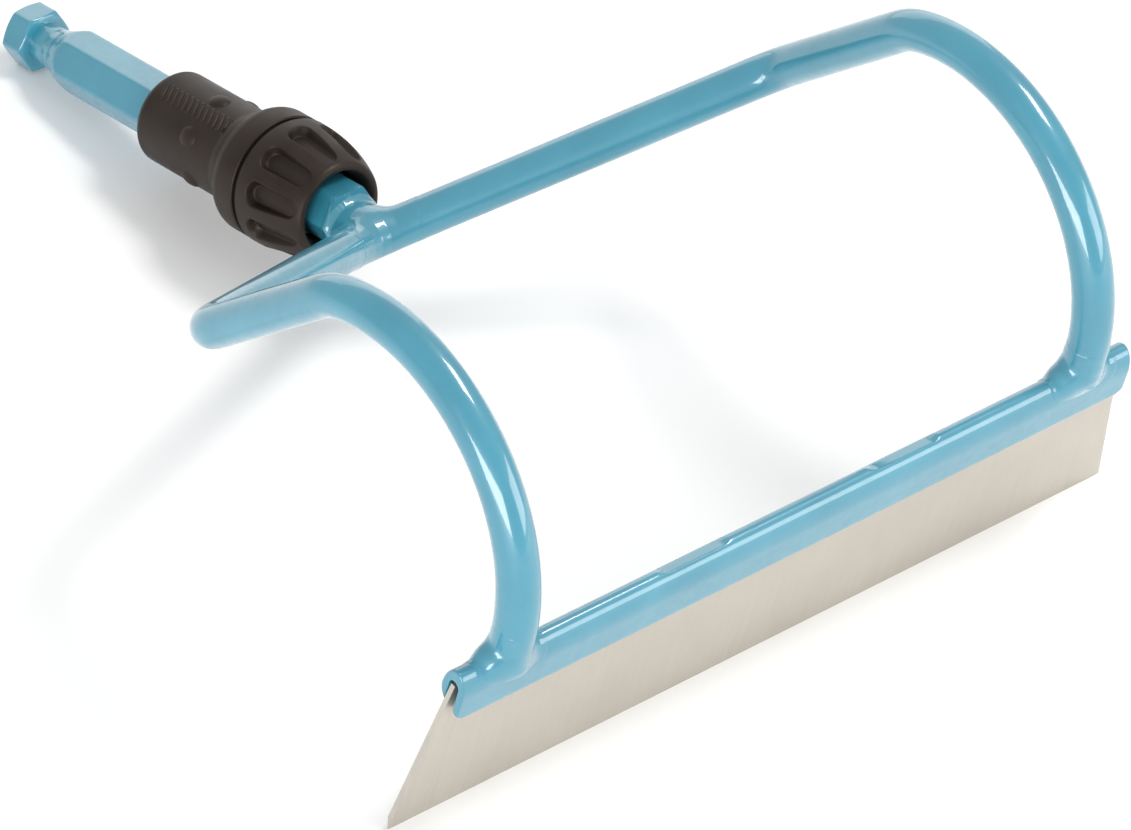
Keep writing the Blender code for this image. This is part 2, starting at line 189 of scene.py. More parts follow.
def noise(tree, where, scale, detail=2.0, stretch=(1, 1, 1), turn=(0, 0, 0)):
    placed = addNode(tree, "ShaderNodeMapping", {"Scale": stretch, "Rotation": turn}, {"Vector": where})
    values = {"Scale": scale, "Detail": detail, "Roughness": 0.55}
    return addNode(tree, "ShaderNodeTexNoise", values, {"Vector": placed.outputs[0]}).outputs["Fac"]


def ramp(tree, source, *stops):
    node = addNode(tree, "ShaderNodeValToRGB", links={"Fac": source})
    band = node.color_ramp
    while len(band.elements) < len(stops):
        band.elements.new(0.5)
    for element, (at, colour) in zip(band.elements, stops):
        element.position = at
        element.color = (*colour, 1)
    return node.outputs["Color"]


def remap(tree, source, low, high, start=0.3, stop=0.7):
    values = {"From Min": start, "From Max": stop, "To Min": low, "To Max": high}
    return addNode(tree, "ShaderNodeMapRange", values, {"Value": source}).outputs[0]


def bump(tree, height, strength, distance, under=None):
    values = {"Strength": strength, "Distance": distance}
    links = {"Height": height}
    if under is not None:
        links["Normal"] = under
    return addNode(tree, "ShaderNodeBump", values, links).outputs["Normal"]


# Baked enamel: a deep teal under a gloss coat, faintly uneven like the skin of an orange.
paintLook = {
    "deep": (0.027, 0.205, 0.292), "plain": (0.031, 0.222, 0.313), "thin": (0.038, 0.245, 0.338),
    "peel": 420.0, "flow": 60.0, "rough": (0.30, 0.42),
}


def makePaint():
    made, tree, shader, where = startFinish("enamel", {
        "Coat Weight": 1.0, "Coat Roughness": 0.07, "Coat IOR": 1.6, "IOR": 1.5, "Specular IOR Level": 0.5,
    })
    flow = noise(tree, where, paintLook["flow"], 3)
    stops = ((0.3, paintLook["deep"]), (0.5, paintLook["plain"]), (0.75, paintLook["thin"]))
    tree.links.new(ramp(tree, flow, *stops), shader.inputs["Base Color"])
    peel = noise(tree, where, paintLook["peel"], 1)
    tree.links.new(remap(tree, peel, *paintLook["rough"]), shader.inputs["Roughness"])
    waves = bump(tree, flow, 0.10, 0.0004)
    tree.links.new(bump(tree, peel, 0.05, 0.00008, waves), shader.inputs["Normal"])
    tree.links.new(bump(tree, peel, 0.035, 0.00008, waves), shader.inputs["Coat Normal"])
    return made


# Satin stainless: fine grain across the blade, from the tube down to the edge.
steelLook = {
    "dark": (0.530, 0.498, 0.446), "light": (0.590, 0.556, 0.500), "grain": 1500.0,
    "stretch": (1.0, 0.03, 0.03), "cloud": 38.0, "rough": (0.42, 0.52),
}


def makeSteel():
    made, tree, shader, where = startFinish("satin steel", {"Metallic": 1.0})
    grain = noise(tree, where, steelLook["grain"], 3, steelLook["stretch"])
    cloud = noise(tree, where, steelLook["cloud"], 4)
    both = addNode(tree, "ShaderNodeMath", links={0: grain, 1: cloud}, operation="ADD").outputs[0]
    half = addNode(tree, "ShaderNodeMath", {1: 0.5}, {0: both}, operation="MULTIPLY").outputs[0]
    stops = ((0.34, steelLook["dark"]), (0.66, steelLook["light"]))
    tree.links.new(ramp(tree, half, *stops), shader.inputs["Base Color"])
    tree.links.new(remap(tree, half, *steelLook["rough"]), shader.inputs["Roughness"])
    tree.links.new(bump(tree, grain, 0.12, 0.00003), shader.inputs["Normal"])
    return made


# Moulded plastic, warm near-black, with a fine spark-eroded texture.
plasticLook = {
    "dark": (0.0082, 0.0052, 0.0036), "light": (0.0165, 0.0110, 0.0080), "cloud": 120.0, "grit": 2600.0,
    "rough": (0.40, 0.56),
}
nylonLook = {
    **plasticLook, "dark": (0.006, 0.005, 0.0045), "light": (0.013, 0.011, 0.010), "rough": (0.34, 0.46),
}
greyLook = {
    **plasticLook, "dark": (0.05, 0.05, 0.052), "light": (0.075, 0.075, 0.078), "rough": (0.45, 0.6),
}


def makePlastic(name, look):
    made, tree, shader, where = startFinish(name, {
        "IOR": 1.45, "Specular IOR Level": 0.42, "Specular Tint": (1.0, 0.86, 0.76, 1.0),
    })
    cloud = noise(tree, where, look["cloud"], 4)
    grit = noise(tree, where, look["grit"], 2)
    stops = ((0.3, look["dark"]), (0.72, look["light"]))
    tree.links.new(ramp(tree, cloud, *stops), shader.inputs["Base Color"])
    tree.links.new(remap(tree, cloud, *look["rough"]), shader.inputs["Roughness"])
    waves = bump(tree, cloud, 0.08, 0.0002)
    tree.links.new(bump(tree, grit, 0.25, 0.00004, waves), shader.inputs["Normal"])
    return made


paint = makePaint()
steel = makeSteel()
plastic = makePlastic("moulded plastic", plasticLook)
nylon = makePlastic("nylon", nylonLook)
greyPlastic = makePlastic("grey nylon", greyLook)
print("finishes made")


bow = {
    "barRadius": 0.005, "halfSpan": 0.0858, "apex": (0.0116, -0.0039), "apexBend": 0.015,
    "cornerBack": 0.0485, "cornerUp": 0.0326, "cornerBend": 0.011, "armRise": 0.574,
    "armLength": 0.0503, "archRadii": (0.0177, 0.0477), "archTurns": (0.367, 2.32),
    "legStop": 0.0042, "spring": 0.0022, "stations": 820, "around": 40,
    "wave": 0.000018, "waveLengths": (0.0071, 0.0123, 0.031),      # a drawn bar is never quite even
}


# A bend: the arc of a circle that touches both straight lines, from one touching point to the other.
def bendPoints(before, corner, after, radius, count=40):
    one, two = unit(before - corner), unit(after - corner)
    half = math.acos(one @ two) / 2
    centre = corner + unit(one + two) * radius / math.sin(half)
    start = corner + one * radius / math.tan(half) - centre
    stop = corner + two * radius / math.tan(half) - centre
    full = math.acos(start @ stop / radius ** 2)
    t = np.linspace(0, 1, count)[:, None]
    return centre + (start * np.sin((1 - t) * full) + stop * np.sin(t * full)) / math.sin(full)


# An arch bending down from a rising heading h, for t up to the turn:
# forward R (sin(t - h) + sin h), up R (cos(h - t) - cos h).
def archPoints(point, heading, radius, turn, count=60):
    t = np.linspace(0, turn, count + 1)[1:]
    forward = radius * (np.sin(t - heading) + math.sin(heading))
    up = radius * (np.cos(heading - t) - math.cos(heading))
    return np.stack([np.full(count, point[0]), point[1] - forward, point[2] + up], 1)


apex = np.array([0.0, *bow["apex"]])
corner = apex + [bow["halfSpan"], -bow["cornerBack"], bow["cornerUp"]]
mirror = corner * [-1, 1, 1]
knee = corner + bow["armLength"] * np.array([0, -math.cos(bow["armRise"]), math.sin(bow["armRise"])])
firstArch = archPoints(knee, bow["armRise"], bow["archRadii"][0], bow["archTurns"][0])
heading = bow["armRise"] - bow["archTurns"][0]
secondArch = archPoints(firstArch[-1], heading, bow["archRadii"][1], bow["archTurns"][1])
heading -= bow["archTurns"][1]
legWay = np.array([0, -math.cos(heading), math.sin(heading)])     # down the leg at its foot
foot = secondArch[-1]
secondArch = secondArch[np.linalg.norm(secondArch - foot, axis=1) > bow["legStop"]]
rightHalf = np.vstack([
    bendPoints(mirror, apex, corner, bow["apexBend"], 41)[20:],
    bendPoints(apex, corner, knee, bow["cornerBend"]), knee[None], firstArch, secondArch,
    (foot - legWay * bow["legStop"])[None],
])
wholeLine = np.vstack([rightHalf[:0:-1] * [-1, 1, 1], rightHalf])


# Even steps along a line, then each point becomes the bell-weighted mean of its neighbours,
# so one curve passes into the next as it does in a bent bar. The ends stay.
def easedLine(line, stations, spread):
    length = np.concatenate([[0], np.cumsum(np.linalg.norm(np.diff(line, axis=0), axis=1))])
    even = np.linspace(0, length[-1], stations)
    spots = np.stack([np.interp(even, length, line[:, i]) for i in range(3)], 1)
    step = even[1]
    reach = int(3 * spread / step)
    weights = np.exp(-0.5 * (np.arange(-reach, reach + 1) * step / spread) ** 2)
    weights /= weights.sum()
    before = 2 * spots[0] - spots[reach:0:-1]
    after = 2 * spots[-1] - spots[-2:-reach - 2:-1]
    padded = np.vstack([before, spots, after])
    return np.stack([np.convolve(padded[:, i], weights, "valid") for i in range(3)], 1), even


# A direction square to the line at every station, carried along without twisting.
def carriedSides(line, first):
    along = unit(np.gradient(line, axis=0))
    sides = [unit(np.cross(along[0], first))]
    for way in along[1:]:
        sides.append(unit(sides[-1] - way * (way @ sides[-1])))
    sides = np.array(sides)
    return sides, np.cross(along, sides)


# Rings of a round bar along a line; the radius may change from station to station.
def sweptRings(line, radius, around, first):
    sides, others = carriedSides(line, np.asarray(first, float))
    turn = np.linspace(0, 2 * math.pi, around, endpoint=False)
    turn = turn[None, :, None]
    spread = np.cos(turn) * sides[:, None] + np.sin(turn) * others[:, None]
    return line[:, None] + np.broadcast_to(radius, len(line))[:, None, None] * spread


bowLine, bowLengths = easedLine(wholeLine, bow["stations"], bow["spring"])
ripple = sum(np.sin(bowLengths / size + shift) for shift, size in enumerate(bow["waveLengths"]))
bowRadius = bow["barRadius"] + bow["wave"] * ripple
bowRings = sweptRings(bowLine, bowRadius, bow["around"], (1, 0, 0))
makePiece("bow_bar", [fanned(bowRings)], paint, "frame", "bow")


tube = {
    "setBack": -0.0005, "setUp": -0.0002, "footOut": 0.0145, "crown": 0.0062, "half": 0.0035,
    "slotHalf": 0.0015, "slotTop": 0.0030, "frontLip": 0.0072, "rearLip": 0.0050,
    "lipRound": 0.0010, "endRound": 0.0005, "lipCorner": 0.0030,
    "frontCrowd": 0.8, "rearSpan": 1.22, "lipStart": 0.00003,
    "crimpAt": 0.0315, "crimpLength": 0.019, "crimpDeep": 0.0006, "crimpRamp": 0.0014, "crimpTilt": 0.42,
    "crimpReach": 0.0016, "crimpEase": 0.00015, "crimpFrom": -0.0006,
}
blade = {
    "thick": 0.0016, "lean": 0.352, "down": 0.0420, "inside": 0.0016, "flare": 0.0082,
    "bevel": 0.0028, "edge": 0.00025, "clear": 0.0003, "round": 0.00018, "short": 0.0004, "stations": 121,
}
tubeHalf = bow["halfSpan"] + tube["footOut"]
tubeAt = np.array([foot[1] + tube["setBack"], foot[2] + tube["setUp"]])
downWay = np.array([math.sin(blade["lean"]), -math.cos(blade["lean"])])
backWay = np.array([math.cos(blade["lean"]), math.sin(blade["lean"])])


# From distances down the blade and back toward the shank to Y and Z; X is given.
def onTube(x, down, back):
    x, down, back = np.broadcast_arrays(x, down, back)
    yz = tubeAt + down[..., None] * downWay + back[..., None] * backWay
    return np.concatenate([x[..., None], yz], -1)


# Outer and inner walls of the tube, point for point: up the front, over the crown as half an
# ellipse, down the rear, which draws in like the side of a longer ellipse.
def tubeWalls(frontCount=16, crownCount=56, rearCount=14):
    frontShare = np.linspace(1, 0, frontCount, endpoint=False) ** tube["frontCrowd"]
    angle = np.linspace(0, math.pi, crownCount)
    rearShare = np.linspace(0, 1, rearCount + 1)[1:]
    outerDown = np.concatenate([
        frontShare * tube["frontLip"], -tube["crown"] * np.sin(angle), rearShare * tube["rearLip"]])
    outerBack = np.concatenate([
        np.full(frontCount, -tube["half"]), -tube["half"] * np.cos(angle),
        tube["half"] * np.sqrt(1 - (rearShare / tube["rearSpan"]) ** 2)])
    rise = tube["slotTop"] - tube["slotHalf"]
    innerDown = np.concatenate([
        frontShare * (tube["frontLip"] + rise) - rise, -rise - tube["slotHalf"] * np.sin(angle),
        rearShare * (tube["rearLip"] + rise) - rise])
    innerBack = np.concatenate([
        np.full(frontCount, -tube["slotHalf"]), -tube["slotHalf"] * np.cos(angle),
        np.full(rearCount, tube["slotHalf"])])
    outer = np.stack([outerDown, outerBack], 1)
    inner = np.stack([innerDown, innerBack], 1)
    return outer, inner


# The walls joined into one outline, drawn along X; ends, lips and corners rounded, crimps pressed in.
def tubeRings():
    outer, inner = tubeWalls()
    lip = np.minimum(tube["frontLip"] - outer[:, 0], 1)
    rear = np.where(outer[:, 1] > 0, tube["rearLip"] - outer[:, 0], 1)
    near = np.clip((np.minimum(lip, rear) + tube["lipStart"]) / tube["lipRound"], 0, 1)
    thin = np.sqrt(1 - (1 - near) ** 2)               # the walls' ends are round
    a = np.linspace(0, math.pi / 2, 7)
    e = tube["endRound"]
    ends = tubeHalf - e + e * np.sin(a)
    crimps = tube["crimpAt"] + tube["crimpLength"] / 2 * np.array([-1, 1])
    fine = np.concatenate([c + np.linspace(-tube["crimpReach"], tube["crimpReach"], 17) for c in crimps])
    cornerRun = tubeHalf - e - np.linspace(0, tube["lipCorner"], 12)
    plain = np.linspace(0, tubeHalf - e - tube["lipCorner"], 60)
    half = np.unique(np.round(np.concatenate([plain, fine, cornerRun, ends]), 7))
    x = np.concatenate([-half[:0:-1], half])
    fromEnd = tubeHalf - np.abs(x)
    trim = e - np.sqrt(np.maximum(e ** 2 - np.maximum(e - fromEnd, 0) ** 2, 0))
    mid, arm = (outer + inner) / 2, (outer - inner) / 2 * thin[:, None]
    reach = np.linalg.norm(arm, axis=1)
    share = np.maximum(1 - trim[:, None] / np.maximum(reach, 0.0003)[None], 0.1)
    outerNow = mid[None] + arm[None] * share[..., None]
    innerNow = mid[None] - arm[None] * share[..., None]
    rings = np.concatenate([outerNow, innerNow[:, ::-1]], 1)
    down, back = rings[..., 0], rings[..., 1]
    # the crimps press the crown flat
    offset = np.abs(np.abs(x) - tube["crimpAt"]) - tube["crimpLength"] / 2
    pressed = (1 - easeStep(offset, -tube["crimpRamp"], tube["crimpRamp"]))[:, None]
    tilt = tube["crimpTilt"]
    stand = math.hypot(tube["crown"] * math.cos(tilt), tube["half"] * math.sin(tilt))
    over = back * math.sin(tilt) - down * math.cos(tilt) - (stand - tube["crimpDeep"])
    push = 0.5 * (over + np.sqrt(over ** 2 + tube["crimpEase"] ** 2))
    push = pressed * np.where(over > tube["crimpFrom"], push, 0)
    down, back = down + push * math.cos(tilt), back - push * math.sin(tilt)
    # the lips' lower corners are cut round
    r = tube["lipCorner"]
    rise = r - np.sqrt(np.maximum(r ** 2 - np.maximum(r - fromEnd, 0) ** 2, 0))
    shorter = 1 - (rise / tube["frontLip"])[:, None]
    down = np.where(down > 0, down * shorter, down)
    return onTube(x[:, None], down, back)


makePiece("blade_tube_shell", [hairpin(tubeRings())], paint, "frame", "blade_tube")


# The blade's section, folded at the cutting edge: down its front face and up its rear face,
# then drawn out sideways, longer toward the edge.
def bladeRings():
    rear = tube["slotHalf"] - blade["clear"]
    front = rear - blade["thick"]
    top, edge, r = -blade["inside"], blade["down"], blade["round"]
    down = np.concatenate([
        [top, top + r * 0.3, top + r], np.linspace(top, edge - blade["bevel"], 26)[1:],
        np.linspace(edge - blade["bevel"], edge, 8)[1:]])
    eased = np.concatenate([[r, r * 0.3, 0], np.zeros(len(down) - 3)])       # the top edge is rounded
    share = np.clip((down - edge + blade["bevel"]) / blade["bevel"], 0, 1)
    nearFace = front + eased
    farFace = rear - share * (blade["thick"] - blade["edge"]) - eased
    downs = np.concatenate([down, down[::-1]])
    backs = np.concatenate([nearFace, farFace[::-1]])
    mid = (nearFace + farFace) / 2
    mids = np.concatenate([mid, mid[::-1]])
    topHalf = tubeHalf - blade["short"]
    half = topHalf + blade["flare"] * (downs + blade["inside"]) / (blade["down"] + blade["inside"])
    x = np.linspace(-1, 1, blade["stations"])[:, None] * half[None]
    # the ends are rounded too
    fromEnd = np.minimum(half[None] - np.abs(x), r)
    trim = r - np.sqrt(np.maximum(r ** 2 - (r - fromEnd) ** 2, 0))
    side = np.sign(backs - mids)
    back = backs[None] - side[None] * np.minimum(trim, np.abs(backs - mids)[None] * 0.8)
    return onTube(x, downs[None], back)


makePiece("blade_plate", [hairpin(bladeRings())], steel, "frame", "blade", 30)


shank = {
    "acrossFlats": 0.014, "front": 0.0168, "ease": 0.00030, "cutEase": 0.0005, "around": 288,
    "turnedFrom": 0.1150, "headFrom": 0.133, "headTo": 0.1372, "uncut": 0.02, "tailRound": 0.00012,
    # what the lathe leaves: places along the shank, and the radius at each
    "latheAt": (0.1150, 0.1178, 0.1210, 0.1238, 0.1265, 0.1310, 0.1311, 0.1318, 0.1330, 0.1377, 0.1385),
    "latheRadius": (
        0.0121, 0.00818, 0.0067, 0.0057, 0.0051, 0.0050, 0.0067, 0.00818, 0.0121, 0.00818, 0.0067),
    # rings: a few along the plain bar, then close ones from each place to the next
    "plain": (0.03, 0.045, 0.06, 0.075, 0.09, 0.105),
    "close": ((0.112, 0.1306, 130), (0.1307, 0.1336, 44), (0.1340, 0.1372, 6), (0.1375, 0.1385, 18)),
}


# Radius at an angle and a place along the shank: the hexagon, or the lathe's cut where that is
# deeper, with the corner between them eased.
def shankRings():
    close = [np.linspace(*run) for run in shank["close"]]
    y = np.concatenate([[shank["front"], *shank["plain"]], *close])
    angle = np.linspace(0, 2 * math.pi, shank["around"], endpoint=False)
    angle = angle - 0.5 * np.sin(6 * angle) / 6        # columns crowd toward the hexagon's corners
    cut = np.interp(y, shank["latheAt"], shank["latheRadius"])
    cut = np.where(y < shank["turnedFrom"], shank["uncut"], cut)
    cut = np.where((y > shank["headFrom"]) & (y < shank["headTo"]), shank["uncut"], cut)
    flats = hexRadius(angle, shank["acrossFlats"], shank["ease"])
    radius = softMin(flats[None], cut[:, None], shank["cutEase"])
    radius[-1] -= shank["tailRound"]
    return aroundAxis(radius, angle, y[:, None])


makePiece("hex_shank", [fanned(shankRings())], paint, "frame", "shank", 32)


weldNeck = {
    "centre": (0.0, 0.0126, -0.0018), "ease": 0.0058, "fill": (0.0, 0.0126, -0.0014, 0.0052),
    "fillEase": 0.004, "lumpHigh": 0.00010, "lumpSize": 0.0016, "lumpFade": (0.0055, 0.0110),
    "sinkFrom": 0.0150, "sinkSlope": 0.9, "proud": 0.00003, "rows": 130, "cols": 220,
    "shankEnd": 0.0182, "endSlope": 1.3, "barReach": 0.034,
}
weldFoot = {
    "up": 0.0052, "ease": 0.0042, "sinkFrom": 0.0104, "sinkSlope": 1.4, "proud": 0.00003,
    "fillReach": 0.0048, "fillRadius": 0.0033, "fillUp": 0.0052, "fillIn": 0.002, "fillDrop": 0.0008,
    "fillEase": 0.003, "toe": 0.0012, "toeSlope": 1.5, "lumpHigh": 0.00014, "lumpSize": 0.0013,
    "barReach": 0.026, "rows": 130, "cols": 220,
}


# Distance to the nearest straight stretch of a line, less the bar's radius.
def barField(spots, line, radius):
    best = np.full(spots.shape[:-1], 1.0)
    for a, b in zip(line[:-1], line[1:]):
        way = b - a
        t = np.clip((spots - a) @ way / (way @ way), 0, 1)
        best = np.minimum(best, np.linalg.norm(spots - a - t[..., None] * way, axis=-1))
    return best - radius


# Distance to the hexagonal bar that starts at the shank's front.
def hexField(spots):
    x, z = spots[..., 0], spots[..., 2]
    sides = [np.abs(x * math.cos(a) + z * math.sin(a)) for a in (math.pi / 2, math.pi / 6, 5 * math.pi / 6)]
    cornerEase, endEase = 0.0007, 0.0008
    around = softMax(softMax(sides[0], sides[1], cornerEase), sides[2], cornerEase) - shank["acrossFlats"] / 2
    return softMax(around, shank["front"] - spots[..., 1], endEase)


# Distance to the tube: an ellipse above its axis, flat walls below it.
def tubeField(spots):
    offset = spots[..., 1:] - tubeAt
    down, back = offset @ downWay, offset @ backWay
    up = np.maximum(-down, 0)
    near = np.sqrt((up / tube["crown"]) ** 2 + (back / tube["half"]) ** 2)
    steep = np.sqrt((up / tube["crown"] ** 2) ** 2 + (back / tube["half"] ** 2) ** 2)
    return near * (near - 1) / np.maximum(steep, 1e-9)


# Unit directions on a sphere's grid, poles left out, with the poles along X.
def directions(rows, cols):
    polar = np.linspace(0, math.pi, rows + 2)[1:-1, None]
    turn = np.linspace(0, 2 * math.pi, cols, endpoint=False)[None]
    across = np.sin(polar)
    return np.stack([np.cos(polar) + 0 * turn, across * np.cos(turn), across * np.sin(turn)], -1)


# A weld bead: from its centre every ray walks out by the distance still left, until it meets the
# melted-together field of the parts. Past sinkFrom the skin dives under the parts' own skins.
def beadSkin(centre, field, look):
    rays = directions(look["rows"], look["cols"])
    poles = np.array([[[1.0, 0, 0]], [[-1.0, 0, 0]]])
    steps, share, start, furthest = 130, 0.4, 0.0004, 0.05
    skins = []
    for way in (rays, poles):
        reach = np.full(way.shape[:-1], start)
        for _ in range(steps):
            spots = centre + reach[..., None] * way
            sink = np.maximum(reach - look["sinkFrom"], 0) * look["sinkSlope"] - look["proud"]
            reach = reach - (field(spots) + sink) * share
            reach = np.clip(reach, 0.0003, furthest)
        skins.append(centre + reach[..., None] * way)
    body, ends = skins
    return poled(body, ends[0], ends[1])


# Soft lumps left by the torch: three crossing waves.
def lumps(spots, height, size):
    x, y, z = (spots[..., i] / size for i in range(3))
    waves = np.sin(x + 1.3 * z) + np.sin(1.7 * y - 0.8 * x + 1.0) + np.sin(1.4 * z + 1.1 * y + 2.0)
    return height * waves / 3


def neckField(spots):
    nearApex = bowLine[np.linalg.norm(bowLine - apex, axis=1) < weldNeck["barReach"]][::6]
    vee = barField(spots, nearApex, bow["barRadius"])
    x, y, z, r = weldNeck["fill"]
    fill = np.linalg.norm((spots - [x, y, z]) * [0.80, 1.0, 1.0], axis=-1) - r
    melted = softMin(softMin(vee, hexField(spots), weldNeck["ease"]), fill, weldNeck["fillEase"])
    dive = np.maximum(spots[..., 1] - weldNeck["shankEnd"], 0) * weldNeck["endSlope"]
    away = np.linalg.norm(spots - np.array(weldNeck["centre"]), axis=-1)
    rough = 1 - easeStep(away, *weldNeck["lumpFade"])
    return melted + lumps(spots, weldNeck["lumpHigh"], weldNeck["lumpSize"]) * rough + dive


neckSkin = beadSkin(np.array(weldNeck["centre"]), neckField, weldNeck)
makePiece("neck_bead", [neckSkin], paint, "frame", "weld_neck", 60)


def footField(side):
    here = foot * [side, 1, 1]
    leg = bowLine[np.linalg.norm(bowLine - here, axis=1) < weldFoot["barReach"]][::5]
    a = onTube(here[0] - weldFoot["fillIn"], -weldFoot["fillUp"], 0.0)
    b = onTube(here[0] - weldFoot["fillReach"], -weldFoot["fillUp"] + weldFoot["fillDrop"], 0.0)

    def field(spots):
        bar = barField(spots, leg, bow["barRadius"])
        melted = softMin(bar, tubeField(spots), weldFoot["ease"])
        fill = barField(spots, [a, b], weldFoot["fillRadius"])
        up = -((spots[..., 1:] - tubeAt) @ downWay)
        dive = np.maximum(weldFoot["toe"] - up, 0) * weldFoot["toeSlope"]
        rough = lumps(spots, weldFoot["lumpHigh"], weldFoot["lumpSize"])
        return softMin(melted, fill, weldFoot["fillEase"]) + rough + dive

    return field


for side, name, node in ((-1, "left_foot_bead", "weld_left"), (1, "right_foot_bead", "weld_right")):
    centre = onTube(side * bow["halfSpan"], -weldFoot["up"], 0.0)
    makePiece(name, [beadSkin(centre, footField(side), weldFoot)], paint, "frame", node, 60)


gap = 0.0003
hexCorner = shank["acrossFlats"] / math.sqrt(3)
colletFlats = shank["acrossFlats"] + 2 * gap
colletR = colletFlats / math.sqrt(3) + 0.0009
boreR = colletR + gap
sleeve = {
    "radius": boreR + 0.0020, "spigot": boreR + 0.0019, "seat": boreR + 0.0008, "back": 0.0826,
    "flangeBack": 0.0468, "flangeFront": 0.0415, "flange": 0.0158, "spigotFront": 0.0334, "swell": 0.0085,
    "round": 0.0005, "rearRound": 0.0017, "barrelStop": 0.0018, "chamfer": 0.0003, "around": 360,
    "seatFront": 0.0740, "coneFront": 0.0710, "grooveHalf": 0.001, "grooveDeep": 0.0011,
    "domeAt": 0.0640, "domeRadius": 0.0026, "domeHigh": 0.0008, "domeCurve": 1.4,
    "ticks": 13, "ticksFrom": 0.0550, "ticksTo": 0.0795, "tickAngle": 116, "tickHigh": 0.00034,
    "tickHalf": 0.0023, "tickSlant": 0.0042, "tickShare": (-0.30, -0.16), "tickEase": 0.0004,
    "tickMargin": 0.1,
}
collet = {
    "front": 0.0296, "back": 0.0815, "cone": 0.0008, "slit": 0.0012, "slitFrom": 0.0565,
    "coneFrom": 0.0070, "coneTo": 0.0040, "bevel": 0.0003, "frontBevel": 0.0004, "wall": 0.0006,
}
ring = {"wire": 0.0006, "y": sleeve["spigotFront"] + 0.0022, "open": 20}
washer = {"thick": 0.0009, "front": sleeve["flangeFront"] - gap - 0.0009, "round": 0.00025}
nut = {
    "front": 0.0208, "back": washer["front"] - gap, "frontRadius": 0.0118, "mouth": 0.0105, "swell": 2.3,
    "pockets": 10, "pocketHalf": 0.0027, "rim": 0.0006, "floor": 0.0009, "widen": (0.92, 1.20),
    "pocketFrom": 0.0011, "pocketTo": 0.0034, "pocketDeep": 0.0022, "wallRise": 0.0055, "proud": 0.0001,
    # edges: steps in from each end, and how much lower the skin is there
    "frontSteps": (0, 0.00012, 0.0004), "frontDrops": (0.0006, 0.00025, 0.00008),
    "backSteps": (0.0001, 0), "backDrops": (0.0001, 0.0003),
    "bodyFrom": 0.0008, "bodyTo": 0.0003, "ringSpace": 0.0009, "ringHalf": 0.0011, "mouthDeep": 0.0028,
}


def sleeveRings():
    r, f = sleeve["radius"], sleeve["flange"]
    t = np.linspace(0, 1, 40)[1:]
    blendR = r + (f - r) * (0.5 + 0.5 * np.cos(math.pi * t))
    blendY = sleeve["flangeBack"] + sleeve["swell"] * t
    a = np.linspace(0, math.pi / 2, 8)
    e = sleeve["round"]
    front = np.stack([f - e + e * np.sin(a), sleeve["flangeFront"] + e - e * np.cos(a)], 1)
    run = np.linspace(blendY[-1], sleeve["back"] - sleeve["barrelStop"], 151)[1:]
    barrel = np.stack([np.full(150, r), run], 1)
    e = sleeve["rearRound"]
    rear = np.stack([r - e + e * np.cos(a), sleeve["back"] - e + e * np.sin(a)], 1)
    outer = np.vstack([front, np.stack([blendR, blendY], 1), barrel, rear[1:]])
    # inside, from the rear: the seat, a cone, the bore, then out and along the spigot with its groove
    c, s, seat = sleeve["chamfer"], sleeve["spigot"], sleeve["seat"]
    mouth, g, deep = sleeve["spigotFront"], sleeve["grooveHalf"], sleeve["grooveDeep"]
    inner = [
        (seat + c, sleeve["back"]), (seat, sleeve["back"] - c), (seat, sleeve["seatFront"]),
        (boreR, sleeve["coneFront"]), (boreR, mouth + c), (boreR + c, mouth), (s - c, mouth), (s, mouth + c),
        (s, ring["y"] - g), (s - deep, ring["y"] - g), (s - deep, ring["y"] + g), (s, ring["y"] + g),
        (s, sleeve["flangeFront"]),
    ]
    outline = np.vstack([outer, stepped(inner, 0.0040)])
    angle = np.linspace(0, 2 * math.pi, sleeve["around"], endpoint=False)
    radius, y = everyAngle(outline, len(angle))
    isBarrel = (outline[:, 0] > r - 0.0001)[None] & (y > sleeve["flangeBack"])
    # six domes: (1 - d^2)^0.7 of the distance d from a dome's middle, in dome radii
    turn = np.mod(angle[:, None] - math.pi / 2 + math.pi / 6, math.pi / 3) - math.pi / 6
    away = np.hypot(turn * r, y - sleeve["domeAt"]) / sleeve["domeRadius"]
    dome = sleeve["domeHigh"] * np.sqrt(np.maximum(1 - np.minimum(away, 1) ** 2, 0)) ** sleeve["domeCurve"]
    # a row of slanting grip ticks along the barrel
    span = sleeve["ticksTo"] - sleeve["ticksFrom"]
    place = (y - sleeve["ticksFrom"]) / span * sleeve["ticks"]
    beside = (angle[:, None] - math.radians(sleeve["tickAngle"])) * r
    slant = place + beside / sleeve["tickSlant"]
    within = (place > sleeve["tickMargin"]) & (place < sleeve["ticks"] - sleeve["tickMargin"])
    side = -sleeve["tickHalf"]
    bar = easeStep(-np.abs(np.mod(slant, 1) - 0.5), *sleeve["tickShare"])
    bar = bar * easeStep(-np.abs(beside), side, side + sleeve["tickEase"])
    radius = radius + isBarrel * (dome + sleeve["tickHigh"] * bar * within)
    return aroundAxis(radius, angle[:, None], y)


makePiece("sleeve_moulding", [looped(sleeveRings())], plastic, "sleeve", "clamp_sleeve", 34)


